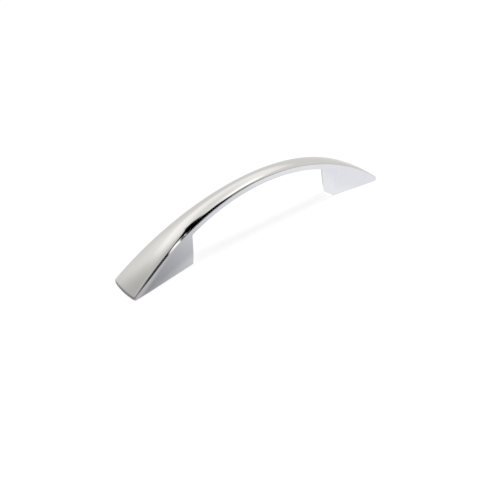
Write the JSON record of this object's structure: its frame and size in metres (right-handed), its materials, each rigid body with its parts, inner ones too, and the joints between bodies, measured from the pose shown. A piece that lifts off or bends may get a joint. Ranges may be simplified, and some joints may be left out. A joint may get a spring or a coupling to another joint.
{
  "type": "arch pull",
  "caption": "Chrome arch pull for a drawer or cabinet door: a bowed bar, narrow at the middle and flaring into wedge-shaped feet with tapped mounting holes.",
  "frame": {"origin": "centre of the mounting plane, midway between the two screw holes", "axes": "+X along the pull, +Y across it, +Z out from the furniture front, which is up when the pull lies on its feet"},
  "size_m": [0.13, 0.0144, 0.025],
  "materials": {
    "plating": "polished"
  },
  "bodies": {
    "root": {"arch_pull": "plating"}
  },
  "joints": []
}
